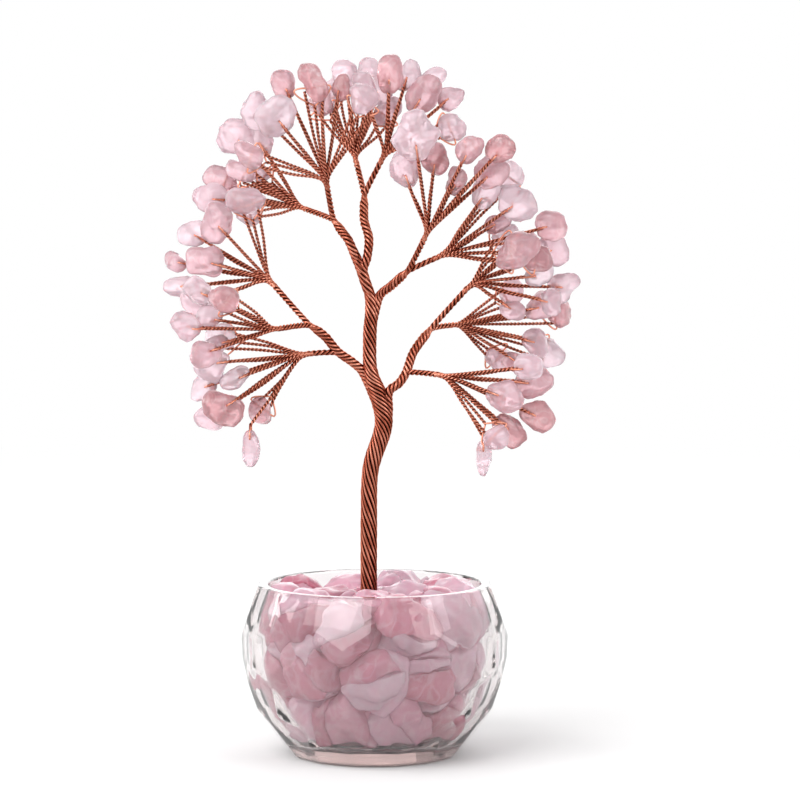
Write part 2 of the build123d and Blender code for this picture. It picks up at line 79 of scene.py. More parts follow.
# Shader helper: a socket that takes part in Python sums
class Flow:
    def __init__(self, tree, socket=None):
        self.tree = tree
        self.socket = socket

    def join(self, target, value):
        if isinstance(value, Flow):
            self.tree.links.new(value.socket, target)
        else:
            target.default_value = value

    def add(self, kind, settings=None, values=None, out=0):
        node = self.tree.nodes.new(kind)
        for name, value in (settings or {}).items():
            if name == "stops":
                while len(node.color_ramp.elements) < len(value):
                    node.color_ramp.elements.new(0.5)
                for stop, (place, colour) in zip(node.color_ramp.elements, value):
                    stop.position = place
                    stop.color = (*colour, 1)
            else:
                setattr(node, name, value)
        for name, value in (values or {}).items():
            self.join(node.inputs[name], value)
        return Flow(self.tree, node.outputs[out] if len(node.outputs) else None)

    def maths(self, operation, first, second):
        return self.add("ShaderNodeMath", {"operation": operation}, {0: first, 1: second})

    def __add__(self, other):
        return self.maths("ADD", self, other)

    def __radd__(self, other):
        return self.maths("ADD", other, self)

    def __sub__(self, other):
        return self.maths("SUBTRACT", self, other)

    def __rsub__(self, other):
        return self.maths("SUBTRACT", other, self)

    def __mul__(self, other):
        return self.maths("MULTIPLY", self, other)

    def __rmul__(self, other):
        return self.maths("MULTIPLY", other, self)

    def __pow__(self, other):
        return self.maths("POWER", self, other)

    def __abs__(self):
        return self.maths("ABSOLUTE", self, 0)

    def most(self, other):
        return self.maths("MAXIMUM", self, other)

    def between(self, low, high):  # 0 below low, 1 above high
        ends = {"From Min": low, "From Max": high}
        return self.add("ShaderNodeMapRange", {"interpolation_type": "SMOOTHSTEP"}, {"Value": self, **ends})

    def blend(self, first, second):  # self is the share of the second colour
        mix = {"data_type": "RGBA", "clamp_factor": True}
        return self.add("ShaderNodeMix", mix, {0: self, 6: first, 7: second}, out=2)

    def cloud(self, place, scale, detail=3.0, rough=0.55, warp=0.0):
        values = {"Vector": place, "Scale": scale, "Detail": detail, "Roughness": rough, "Distortion": warp}
        return self.add("ShaderNodeTexNoise", None, values)

    def ramp(self, stops):
        return self.add("ShaderNodeValToRGB", {"stops": stops}, {"Fac": self})

    def bump(self, height, strength, distance):
        values = {"Height": height, "Strength": strength, "Distance": distance}
        return self.add("ShaderNodeBump", None, values)


def newFinish(name):
    material = bpy.data.materials.new(name)
    material.use_nodes = True
    tree = material.node_tree
    tree.nodes.clear()
    flow = Flow(tree)
    place = flow.add("ShaderNodeTexCoord", None, None, "Object")
    return material, flow, place


def closeFinish(flow, constants, varied, inside=None):
    ends = {"Surface": flow.add("ShaderNodeBsdfPrincipled", None, {**constants, **varied}, "BSDF")}
    if inside:  # colour of thick glass
        ends["Volume"] = flow.add("ShaderNodeVolumeAbsorption", None, inside)
    flow.add("ShaderNodeOutputMaterial", None, ends)


def copperWireFinish():
    look = {
        # the darkest two colours are painted shade in the crevices between the strands, the lightest a
        # painted highlight on their crowns
        "deep": (0.012, 0.0025, 0.0015),
        "shade": (0.075, 0.015, 0.009),
        "body": (0.33, 0.082, 0.047),
        "painted_highlight": (0.80, 0.36, 0.255),
        "edge": (1.0, 0.55, 0.42, 1),
        "contrast": 2.0, "crown": 0.84, "handled": 0.36, "lowest": -0.09,
        "rough": 0.20, "roughWorn": 0.16, "marks": 900, "wear": 160, "relief": 0.12, "depth": 0.00006,
    }
    material, flow, place = newFinish("copperWire")
    lift = flow.add("ShaderNodeAttribute", {"attribute_name": "lift"}, None, "Fac")
    drawn = flow.cloud(place, look["marks"], 2)  # faint draw marks and handling
    worn = flow.cloud(place, look["wear"], 3)
    # lift paints shade in the crevices and a highlight on the strand crowns; worn adds handling wear
    tone = lift ** look["contrast"] * look["crown"] + worn * look["handled"] + look["lowest"]
    colour = tone.ramp([  # painted shade between the strands and a painted highlight on their crowns
        (0.0, look["deep"]), (0.3, look["shade"]), (0.68, look["body"]), (1.0, look["painted_highlight"])])
    rough = look["rough"] + worn * look["roughWorn"]
    relief = flow.bump(drawn, look["relief"], look["depth"])
    closeFinish(flow, {"Metallic": 1.0, "IOR": 1.5, "Specular Tint": look["edge"]},
                {"Base Color": colour, "Roughness": rough, "Normal": relief})
    return material


quartzMake = {
    "fineScale": 4.5, "veinScale": 0.8, "veinWidth": 0.07, "milkFrom": 0.52, "milkTo": 0.72,
    "toneShare": 0.75, "cloudShare": 0.55, "lowest": -0.16,
    "roughFine": 0.10, "relief": 0.10, "depth": 0.0002, "scatter": (1.0, 0.62, 0.66),
}


def roseQuartzFinish(name, look):
    material, flow, place = newFinish(name)
    tone = flow.add("ShaderNodeAttribute", {"attribute_name": "tone"}, None, "Fac")
    cloud = flow.cloud(place, look["cloud"], 4, 0.6, 0.6)  # milky clouds inside the stone
    fine = flow.cloud(place, look["cloud"] * quartzMake["fineScale"], 3)
    vein = flow.cloud(place, look["cloud"] * quartzMake["veinScale"], 2, 0.5, 1.4)
    depth = tone * quartzMake["toneShare"] + cloud * quartzMake["cloudShare"] + quartzMake["lowest"]
    body = depth.ramp(
        [(0.0, look["clear"]), (0.35, look["pale"]), (0.65, look["rose"]), (1.0, look["deep"])])
    milk = cloud.between(quartzMake["milkFrom"], quartzMake["milkTo"]) * look["milk"]
    colour = milk.blend(body, (*look["white"], 1))
    line = 1 - abs(vein - 0.5).between(0.0, quartzMake["veinWidth"])  # healed cracks
    colour = (line * look["vein"]).blend(colour, (*look["crack"], 1))
    rough = look["rough"] + fine * quartzMake["roughFine"]
    constants = {
        "IOR": look["bend"], "Subsurface Weight": look["glow"], "Subsurface Radius": quartzMake["scatter"],
        "Subsurface Scale": look["reach"], "Transmission Weight": look["see"],
        "Emission Strength": look["inner"],  # painted glow that stands in for light scattered inside a heap of stones
    }
    closeFinish(flow, constants, {
        "Base Color": colour, "Roughness": rough, "Emission Color": colour,
        "Normal": flow.bump(fine, quartzMake["relief"], quartzMake["depth"])})
    return material


chipLook = {
    "clear": (0.84, 0.71, 0.765), "pale": (0.79, 0.57, 0.63), "rose": (0.695, 0.39, 0.42),
    "deep": (0.58, 0.255, 0.25), "white": (0.87, 0.78, 0.82), "crack": (0.91, 0.84, 0.87),
    "cloud": 210, "milk": 0.45, "vein": 0.18, "rough": 0.02, "glow": 0.3, "reach": 0.0016, "see": 0.55,
    "bend": 1.48, "inner": 0.0,
}
bowlStoneLook = {
    "clear": (0.92, 0.70, 0.79), "pale": (0.89, 0.54, 0.66), "rose": (0.84, 0.40, 0.51),
    "deep": (0.73, 0.27, 0.36), "white": (0.93, 0.79, 0.87), "crack": (0.96, 0.88, 0.92),
    "cloud": 150, "milk": 0.5, "vein": 0.25, "rough": 0.03, "glow": 0.35, "reach": 0.004, "see": 0.5,
    # a faint painted glow lightens the shade between the bowl stones
    "bend": 1.4, "inner": 0.026,
}


def clearGlassFinish():
    look = {
        "ripple": 55, "rippleRelief": 0.25, "rippleDepth": 0.0012, "smears": 320,
        "rough": 0.005, "roughSmear": 0.02, "roughGround": 0.5, "groundFrom": 0.0008, "groundTo": 0.0002,
    }
    material, flow, place = newFinish("clearGlass")
    wave = flow.cloud(place, look["ripple"], 2)  # slow ripple of pressed glass
    smear = flow.cloud(place, look["smears"], 3)
    height = flow.add("ShaderNodeSeparateXYZ", None, {"Vector": place}, "Z")
    ground = 1 - height.between(look["groundTo"], look["groundFrom"])  # the foot is ground flat
    rough = look["rough"] + smear * look["roughSmear"] + ground * look["roughGround"]
    constants = {"IOR": 1.34, "Transmission Weight": 1.0, "Base Color": (0.98, 0.98, 0.985, 1),
                 "Coat Weight": 0.8, "Coat Roughness": 0.02}
    relief = flow.bump(wave, look["rippleRelief"], look["rippleDepth"])
    closeFinish(flow, constants, {"Roughness": rough, "Normal": relief},
                {"Color": (0.62, 0.47, 0.45, 1), "Density": 46.0})
    return material


def castResinFinish():
    look = {"bubbles": 700, "rough": 0.02, "roughBubbles": 0.05}
    material, flow, place = newFinish("castResin")
    bubbles = flow.cloud(place, look["bubbles"], 2)
    constants = {"IOR": 1.5, "Transmission Weight": 1.0, "Base Color": (0.84, 0.68, 0.67, 1)}
    closeFinish(flow, constants, {"Roughness": look["rough"] + bubbles * look["roughBubbles"]})
    return material


copperWire = copperWireFinish()
chipQuartz = roseQuartzFinish("chipQuartz", chipLook)
bowlQuartz = roseQuartzFinish("bowlQuartz", bowlStoneLook)
clearGlass = clearGlassFinish()
castResin = castResinFinish()
print("finishes made")


# Helpers for meshes
weldGap = 0.002  # mm


def meshPiece(name, mesh, finish):
    mesh.name = name
    mesh.materials.clear()
    mesh.materials.append(finish)
    mesh.polygons.foreach_set("use_smooth", [True] * len(mesh.polygons))
    piece = bpy.data.objects.new(name, mesh)
    scene.collection.objects.link(piece)
    return piece


def weldedNode(node):
    bm = bmesh.new()
    bm.from_mesh(nodes[node].data)
    bmesh.ops.remove_doubles(bm, verts=bm.verts[:], dist=weldGap * mm)
    return bm


def loosePoints(bm):  # one list of points for each separate solid
    parts = []
    seen = set()
    for first in bm.verts:
        if first in seen:
            continue
        seen.add(first)
        queue = [first]
        part = []
        while queue:
            vert = queue.pop()
            part.append(vert.co.copy())
            for edge in vert.link_edges:
                other = edge.other_vert(vert)
                if other not in seen:
                    seen.add(other)
                    queue.append(other)
        parts.append(part)
    return parts


def solidsOf(node):
    bm = weldedNode(node)
    parts = loosePoints(bm)
    bm.free()
    return parts


def wearDown(bm, rounds):
    for turn in range(rounds):
        bmesh.ops.smooth_vert(
            bm, verts=bm.verts[:], factor=0.5, use_axis_x=True, use_axis_y=True, use_axis_z=True)


def wornEven(bm, grain, rounds):  # the same solid in an even mesh, with its edges worn
    mesh = bpy.data.meshes.new("blank")
    bm.to_mesh(mesh)
    bm.free()
    blank = bpy.data.objects.new("blank", mesh)
    scene.collection.objects.link(blank)
    grid = blank.modifiers.new("grid", "REMESH")
    grid.mode = "VOXEL"
    grid.voxel_size = grain * mm
    even = bpy.data.meshes.new_from_object(blank.evaluated_get(bpy.context.evaluated_depsgraph_get()))
    bpy.data.objects.remove(blank)
    bpy.data.meshes.remove(mesh)
    worn = bmesh.new()
    worn.from_mesh(even)
    bpy.data.meshes.remove(even)
    wearDown(worn, rounds)
    return worn


# Tumbled stones: the hull of a CAD stone or of its pieces, worn round and dented
stoneMake = {"shortest": -0.7, "spread": 9.0, "toneSpread": 0.08}


def hullOf(points):
    hull = bmesh.new()
    for point in points:
        hull.verts.new(point)
    made = bmesh.ops.convex_hull(hull, input=hull.verts[:])
    loose = made["geom_interior"] + made["geom_unused"]
    spare = {item for item in loose if isinstance(item, bmesh.types.BMVert)}
    bmesh.ops.delete(hull, geom=list(spare), context="VERTS")
    return hull


def anyWay(draw):
    return Vector([draw.uniform(-1, 1) for axis in range(3)])


def splitStone(points, gap, draw):  # the two rough pieces on either side of a cleft
    middle = sum(points, Vector()) / len(points)
    across = anyWay(draw).normalized()
    halves = []
    for way in (across, -across):
        half = hullOf(points)
        geometry = half.verts[:] + half.edges[:] + half.faces[:]
        face = middle - way * gap / 2 * mm
        bmesh.ops.bisect_plane(half, geom=geometry, plane_co=face, plane_no=way, clear_outer=True)
        halves.append([vert.co.copy() for vert in half.verts])
        half.free()
    return halves


def brokenUp(points, wear, draw):  # a stone, or the pieces that it splits into
    pieces = [points]
    for chance in wear["clefts"]:
        pieces = [part for piece in pieces for part in (
            splitStone(piece, wear["gap"], draw) if draw.random() < chance else [piece])]
    return pieces


def tumbledStone(points, wear, draw):
    hull = hullOf(points)
    centre = sum((vert.co for vert in hull.verts), Vector()) / len(hull.verts)
    way = anyWay(draw)
    turned = Vector((0, 0, 1)).rotation_difference(way).to_matrix().to_4x4().inverted()
    longer = 1 + draw.uniform(stoneMake["shortest"], 1) * wear["stretch"]
    thinner = 1 / math.sqrt(longer)  # longer one way and thinner the others
    bmesh.ops.scale(
        hull, vec=Vector((thinner, thinner, longer)) * wear["grow"],
        space=turned @ Matrix.Translation(-centre), verts=hull.verts[:])
    stone = wornEven(hull, wear["grain"], wear["rounds"])
    spread = stoneMake["spread"]
    offset = Vector([draw.uniform(-spread, spread) for axis in range(3)])
    stone.normal_update()
    for vert in stone.verts:  # slow dents and a finer pitting
        spot = vert.co / mm
        dent = noise.noise(spot / wear["dentSize"] + offset) * wear["dent"]
        pit = noise.noise(spot / wear["pitSize"] - offset) * wear["pit"]
        vert.co += vert.normal * (dent + pit) * mm
    wearDown(stone, 1)
    return stone


def stepInside(stone):  # the shift that brings a stone back inside the CAD box
    shift = Vector()
    for axis in range(3):
        places = [vert.co[axis] for vert in stone.verts]
        shift[axis] = max(0, cadBox[0][axis] - min(places)) - max(0, max(places) - cadBox[1][axis])
    return shift


def stonePile(name, node, wear, finish, body, seed):
    draw = random.Random(seed)
    pile = bmesh.new()
    tone = pile.verts.layers.float.new("tone")
    for points in [part for solid in solidsOf(node) for part in brokenUp(solid, wear, draw)]:
        stone = tumbledStone(points, wear, draw)
        bmesh.ops.translate(stone, vec=stepInside(stone), verts=stone.verts[:])
        mesh = bpy.data.meshes.new("stone")
        stone.to_mesh(mesh)
        stone.free()
        before = len(pile.verts)
        pile.from_mesh(mesh)
        bpy.data.meshes.remove(mesh)
        pile.verts.ensure_lookup_table()
        spread = stoneMake["toneSpread"]
        shade = draw.choice(wear["tones"]) + draw.uniform(-spread, spread)
        for index in range(before, len(pile.verts)):
            pile.verts[index][tone] = shade
    mesh = bpy.data.meshes.new(name)
    pile.to_mesh(mesh)
    pile.free()
    piece = meshPiece(name, mesh, finish)
    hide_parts(node)
    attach(piece, body)
    return piece


bowlStones = {
    "piles": ["bottom_stones", "middle_stones", "top_stones", "collar_stones"], "seed": 43,
    "wear": {
        "clefts": [1.0, 0.65], "gap": 0.25, "stretch": 0.12, "grow": 1.06, "grain": 0.6, "rounds": 2,
        "dent": 1.5, "dentSize": 5.5, "pit": 0.2, "pitSize": 1.8,
        "tones": [0.0, 0.1, 0.25, 0.45, 0.65, 0.85, 1.0],
    },
}
for number, node in enumerate(bowlStones["piles"]):
    seed = bowlStones["seed"] + number
    stonePile(node + ".tumbled", node, bowlStones["wear"], bowlQuartz, "pot", seed)
print("bowl stones broken up and worn")

# Branches: where each leaves the trunk, and the points of its run, x, y and height in mm
branchRopes = {
    "left": {
        "seat": (-0.75, 51.3), "seatRadius": 2.15, "bearing": 140,
        "path": [(-5.4, -0.6, 55.5), (-9.1, -1.6, 58.2), (-12.4, -2.8, 62.2), (-16.4, -4.0, 65.2)]},
    "right": {
        "seat": (1.3, 46.0), "seatRadius": 2.15, "bearing": 42,
        "path": [(6.2, 0.8, 50.2), (8.0, 2.0, 53.0), (9.8, 4.0, 57.8), (14.4, 8.0, 63.8)]},
    "high_right": {
        "seat": (-0.8, 70.5), "seatRadius": 1.75, "bearing": 38,
        "path": [(4.0, -2.5, 74.5), (8.6, -7.0, 78.8)]},
    "shoulder": {
        "seat": (-5.1, 83.8), "seatRadius": 1.4, "bearing": 122,
        "path": [(-7.9, 1.6, 87.8), (-10.4, 4.0, 91.2)]},
    "crown": {
        "seat": (-4.1, 81.0), "seatRadius": 1.4, "bearing": 18,
        "path": [(-1.4, 1.4, 86.4), (-2.6, 4.2, 91.0), (-2.6, 8.0, 97.5)]},
}
branchMake = {"strands": 5, "wire": 0.42, "girth": 1.2, "lay": 6.4, "step": 0.5, "seatDepth": 1.0}

# Sprays: branch and its point, depth layer from front to back, hub, chips as x, height and size
sprays = {
    "left_lower": {
        "branch": "left", "point": 2, "layer": 1, "hub": (-17.9, 57.8), "drop": (-30.6, 37.4, "front"),
        "front": [(-40.4, 55.8, 1.2), (-34.5, 52.0, 0.85), (-37.6, 44.5, 1.2)],
        "back": [(-38.5, 61.5, 0.95), (-42.9, 49.3, 0.9), (-40.4, 42.0, 0.95), (-28.5, 43.5, 0.8)]},
    "left_middle": {
        "branch": "left", "point": 4, "layer": 0, "hub": (-24.4, 64.5),
        "front": [(-45.6, 65.3, 1.0), (-36.4, 72.0, 0.85), (-41.0, 59.2, 1.0)],
        "back": [(-38.2, 61.0, 0.85), (-40.0, 67.2, 0.8), (-43.2, 74.0, 0.95)]},
    "left_upper": {
        "branch": "left", "point": 4, "layer": 2, "hub": (-26.6, 76.0),
        "front": [(-42.4, 80.8, 1.35), (-39.9, 90.3, 1.15), (-44.9, 70.5, 1.0)],
        "back": [(-50.0, 80.2, 0.85), (-49.5, 74.0, 0.95), (-45.9, 87.3, 0.95), (-32.1, 95.8, 0.95)]},
    "shoulder_side": {
        "branch": "shoulder", "point": 2, "layer": 3, "hub": (-18.9, 94.0),
        "front": [(-42.1, 96.3, 1.1), (-34.0, 102.8, 0.85), (-35.4, 111.8, 1.35)],
        "back": [(-39.4, 101.0, 1.05), (-32.8, 92.8, 0.85), (-29.3, 102.6, 0.75), (-29.5, 110.5, 1.0)]},
    "shoulder_top": {
        "branch": "shoulder", "point": 2, "layer": 1, "hub": (-11.9, 101.0),
        "front": [(-31.0, 106.8, 0.85), (-24.4, 116.8, 1.35), (-15.4, 125.0, 1.15), (-2.1, 121.0, 0.95)],
        "back": [(-28.9, 118.0, 1.0), (-22.2, 124.2, 0.9), (-13.2, 121.0, 0.8), (-8.6, 123.8, 0.85)]},
    "crown_left": {
        "branch": "crown", "point": 3, "layer": 3, "hub": (-5.1, 106.8),
        "front": [(-14.0, 120.0, 0.85), (-7.4, 127.0, 1.15), (1.0, 123.8, 1.0)],
        "back": [(-11.5, 122.8, 0.85), (-1.6, 128.6, 0.9), (2.9, 118.5, 0.95)]},
    "crown_right": {
        "branch": "crown", "point": 3, "layer": 2, "hub": (2.6, 107.5),
        "front": [(-3.1, 124.8, 0.85), (3.9, 127.5, 1.1), (12.1, 122.3, 1.3), (19.9, 114.3, 0.95)],
        "back": [(8.2, 127.2, 1.0), (13.9, 125.6, 1.05), (18.9, 121.6, 0.95)]},
    "high_right_top": {
        "branch": "high_right", "point": 2, "layer": 0, "hub": (13.1, 88.2),
        "front": [(10.1, 111.6, 1.5), (23.1, 108.8, 1.05), (30.6, 108.3, 0.95)],
        "back": [(7.1, 103.5, 1.15), (14.8, 106.3, 0.95), (20.4, 101.3, 0.95), (28.6, 102.8, 1.1)]},
    "high_right_side": {
        "branch": "high_right", "point": 2, "layer": 1, "hub": (17.1, 82.5),
        "front": [(27.5, 97.9, 0.95), (35.4, 95.5, 1.35), (35.4, 83.4, 1.2)],
        "back": [(34.0, 102.7, 0.85), (30.6, 90.3, 0.85), (43.7, 89.6, 1.0), (41.0, 81.2, 0.95)]},
    "right_upper": {
        "branch": "right", "point": 4, "layer": 2, "hub": (24.4, 75.0),
        "front": [(33.0, 86.4, 0.9), (41.4, 77.2, 1.0), (44.4, 70.4, 0.9), (35.0, 68.4, 0.85)],
        "back": [(37.0, 84.8, 0.9), (45.2, 83.4, 1.05), (47.9, 73.8, 1.05)]},
    "right_middle": {
        "branch": "right", "point": 4, "layer": 3, "hub": (21.1, 64.2),
        "front": [(42.4, 68.7, 0.95), (41.4, 59.6, 1.05), (36.8, 54.4, 0.9)],
        "back": [(34.8, 71.5, 0.9), (47.5, 66.5, 0.95), (44.8, 56.6, 1.05), (32.2, 54.9, 0.9)]},
    "right_lower": {
        "branch": "right", "point": 2, "layer": 1, "hub": (17.4, 52.5), "drop": (27.1, 33.9, "back"),
        "front": [(37.9, 54.8, 0.95), (32.5, 47.3, 1.2), (30.6, 37.3, 0.85)],
        "back": [(39.6, 50.6, 1.25), (41.0, 42.0, 1.0), (34.3, 38.4, 1.2)]},
}
sprayMake = {"layers": 4, "pitch": 14.0, "hubShare": 0.72, "rowOffset": 3.4, "knob": 1.7, "seatDepth": 0.5}

chips = {
    "height": 8.2, "holeLevel": 0.3, "forkDrop": 1.3, "shoulder": 0.35,
    "dropFork": 3.2, "dropHeight": 9.4, "seed": 80, "dropSeed": 120,
    "wear": {
        "clefts": [], "gap": 0.0, "stretch": 0.36, "grow": 0.97, "grain": 0.36, "rounds": 3,
        "dent": 1.5, "dentSize": 4.8, "pit": 0.12, "pitSize": 1.5,
        "tones": [0.0, 0.05, 0.15, 0.25, 0.3, 0.45, 0.6, 0.8],
    },
    "dropWear": {"stretch": 0.05, "dent": 0.7},
}
dropWear = {**chips["wear"], **chips["dropWear"]}
for number, (name, spray) in enumerate(sprays.items()):
    node, body, seed = name + "_chips", name + "_spray", chips["seed"] + number
    stonePile(node + ".tumbled", node, chips["wear"], chipQuartz, body, seed)
    if "drop" in spray:
        node, body, seed = name + "_drop_chip", name + "_drop", chips["dropSeed"] + number
        stonePile(node + ".tumbled", node, dropWear, chipQuartz, body, seed)
print("chips worn round")


# Wire: routes, ropes of strands and twisted pairs
def smoothRoute(corners, step):
    ways = []
    for index in range(len(corners)):
        before = corners[max(index - 1, 0)]
        after = corners[min(index + 1, len(corners) - 1)]
        ways.append((after - before).normalized())
    route = [corners[0]]
    for first, second, firstWay, secondWay in zip(corners, corners[1:], ways, ways[1:]):
        length = (second - first).length
        count = max(3, round(length / (step * mm)) + 1)
        leave, arrive = first + firstWay * length / 3, second - secondWay * length / 3
        route += interpolate_bezier(first, leave, arrive, second, count)[1:]
    return route


# Slack is a share of the wire, wander in radians, every in mm, and the rest keeps the strands different
handLaid = {
    "slack": 0.22, "wander": 0.10, "every": 5.0, "strandStep": 3.7, "turnStep": 5.1, "wanderStep": 40,
}
leastReach = 0.05  # mm


def ropeStrands(route, girths, lays, count, wire, turn=0.0):
    strands = [[] for strand in range(count)]
    angle = turn
    gone = 0.0
    side = None
    for index, point in enumerate(route):
        way = (route[min(index + 1, len(route) - 1)] - route[max(index - 1, 0)]).normalized()
        side = side or way.cross(depthAxis)
        side = (side - way * side.dot(way)).normalized()
        other = way.cross(side)
        if index:
            step = (point - route[index - 1]).length / mm
            gone += step
            angle -= 2 * math.pi * step / lays[index]  # left-handed lay
        for number, strand in enumerate(strands):
            spot = Vector((
                number * handLaid["strandStep"], gone / handLaid["every"], turn * handLaid["turnStep"]))
            slack = abs(noise.noise(spot)) * handLaid["slack"] * wire
            wander = noise.noise(spot + depthAxis * handLaid["wanderStep"]) * handLaid["wander"]
            spoke = angle + 2 * math.pi * number / count + wander
            reach = max(girths[index] - wire - slack, leastReach) * mm
            strand.append(point + (side * math.cos(spoke) + other * math.sin(spoke)) * reach)
    return strands


def wireMesh(name, strands, wire, axis, openness=0.0):  # openness is the lift in the crevices, which lightens their painted shade
    curve = bpy.data.curves.new(name, "CURVE")
    curve.dimensions = "3D"
    curve.bevel_depth = wire * mm
    curve.bevel_resolution = 2
    curve.use_fill_caps = True
    for points, sizes in strands:
        spline = curve.splines.new("POLY")
        spline.points.add(len(points) - 1)
        for spot, point, size in zip(spline.points, points, sizes):
            spot.co = (*point, 1)
            spot.radius = size
    holder = bpy.data.objects.new(name, curve)
    scene.collection.objects.link(holder)
    mesh = bpy.data.meshes.new_from_object(holder.evaluated_get(bpy.context.evaluated_depsgraph_get()))
    bpy.data.objects.remove(holder)
    bpy.data.curves.remove(curve)
    finder = kdtree.KDTree(len(axis))  # how far each point stands out from its rope's middle, which sets the copper's painted shade and highlight
    for index, (point, girth) in enumerate(axis):
        finder.insert(point, index)
    finder.balance()
    lift = mesh.attributes.new("lift", "FLOAT", "POINT")
    for index, vert in enumerate(mesh.vertices):
        spot, nearest, distance = finder.find(vert.co)
        outer = axis[nearest][1] * mm
        share = min(1, max(0, (distance - outer + wire * mm) / (wire * mm)))
        lift.data[index].value = openness + (1 - openness) * share
    return mesh


coreMake = {"inset": 1.5, "least": 0.1}  # inset in wires, least in mm


def rope(route, girths, lays, count, wire, turn=0.0):  # the strands and a core that fills the middle
    even = [1.0] * len(route)
    strands = [(strand, even) for strand in ropeStrands(route, girths, lays, count, wire, turn)]
    core = [max(girth - wire * coreMake["inset"], coreMake["least"]) / wire for girth in girths]
    return strands + [(route, core)]


def ropePiece(name, make, route, girths, turn):  # one rope of an even lay
    lays = [make["lay"]] * len(route)
    strands = rope(route, girths, lays, make["strands"], make["wire"], turn)
    axis = list(zip(route, girths))
    return meshPiece(name, wireMesh(name, strands, make["wire"], axis), copperWire)


def taperedGirths(route, full, tip, taper, start=None):  # full girth, drawn in towards the ends
    girths = []
    for point in route:
        share = min(1, (point - route[-1]).length / (taper * mm))
        if start:
            share = min(share, (point - route[0]).length / (start * mm))
        girths.append(tip + (full - tip) * share)
    return girths


trunkRope = {
    "wire": 0.39, "step": 0.8, "footHeight": -37.4, "lump": 0.05, "lumpSize": 6.0,
    "run": [(-1.4, 17.0), (-0.9, 29.0), (2.3, 39.8), (1.2, 46.5), (-0.9, 52.5), (-1.15, 62.0), (-0.8, 70.5),
            (-2.2, 75.5), (-5.1, 83.8)],
    "lay": [(-36, 33), (26, 33), (36, 17), (48, 15), (58, 16), (84, 12)],
    "ropes": [  # each runs on inside the next one up
        {"strands": 12, "girth": [
            (-38, 2.1), (28, 2.1), (37, 2.25), (43, 2.4), (48, 2.3), (53, 1.95), (57, 1.2)]},
        {"strands": 9, "girth": [(44, 1.2), (50, 1.6), (55, 1.8), (69, 1.7), (72, 1.5), (75, 1.0)]},
        {"strands": 7, "girth": [(62, 1.0), (70, 1.3), (74, 1.42), (80, 1.35), (84, 0.8)]},
    ],
}
trunkCorners = [treePoint(trunkRope["run"][0][0], 0, trunkRope["footHeight"])]
trunkCorners += [treePoint(x, 0, height) for x, height in trunkRope["run"]]
trunkRoute = smoothRoute(trunkCorners, trunkRope["step"])


def heightOf(point):
    return point.z / mm - rimHeight


def trunkGirth(height):
    begun = [part["girth"] for part in trunkRope["ropes"] if part["girth"][0][0] <= height]
    return max(readOff(girth, height) for girth in begun)


def trunkLump(point):  # thicker and thinner where the strands were wound by hand
    return 1 + noise.noise(point / (trunkRope["lumpSize"] * mm)) * trunkRope["lump"]


strands = []
for section in trunkRope["ropes"]:
    low, high = section["girth"][0][0], section["girth"][-1][0]
    route = [point for point in trunkRoute if low <= heightOf(point) <= high]
    girths = [readOff(section["girth"], heightOf(point)) * trunkLump(point) for point in route]
    lays = [readOff(trunkRope["lay"], heightOf(point)) for point in route]
    strands += rope(route, girths, lays, section["strands"], trunkRope["wire"])
trunkAxis = [(point, trunkGirth(heightOf(point)) * trunkLump(point)) for point in trunkRoute]
trunk = meshPiece("trunkRope", wireMesh("trunkRope", strands, trunkRope["wire"], trunkAxis), copperWire)
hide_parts("trunk")
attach(trunk, "pot")
print("trunk laid up")


# Branches leave the trunk along its strands
def besideTrunk(height, lean, proud):  # on one side of the trunk, standing a little proud of its surface
    middle = min(trunkRoute, key=lambda point: abs(heightOf(point) - height))
    return middle + Vector((lean * (trunkGirth(height) - branchMake["girth"] + proud), 0, 0)) * mm


rootMake = {
    "below": 8.0, "nearBelow": 2.8, "sunk": -0.3, "proud": 0.3, "blend": 1.6, "taper": 3.0, "tip": 0.55,
}
for number, (name, branch) in enumerate(branchRopes.items()):
    bearing = math.radians(branch["bearing"])
    reach = branch["seatRadius"] + branchMake["seatDepth"]
    x, height = branch["seat"]
    pivot = treePoint(x + math.cos(bearing) * reach, 0, height + math.sin(bearing) * reach)
    branch["points"] = [pivot] + [treePoint(*point) for point in branch["path"]]
    lean = 1 if math.cos(bearing) > 0 else -1
    roots = [besideTrunk(height - rootMake["below"], lean, rootMake["sunk"]),
             besideTrunk(height - rootMake["nearBelow"], lean, rootMake["proud"])]
    route = smoothRoute(roots + branch["points"], branchMake["step"])
    tip, taper = rootMake["tip"], rootMake["taper"]
    girths = taperedGirths(route, branchMake["girth"], tip, taper, taper)
    piece = ropePiece(name + "_rope", branchMake, route, girths, number)
    way = (branch["points"][1] - pivot).normalized() * rootMake["blend"] * mm
    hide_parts(name + "_branch")
    pivot - way
    pivot + way
    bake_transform(piece)
print("branches laid up")

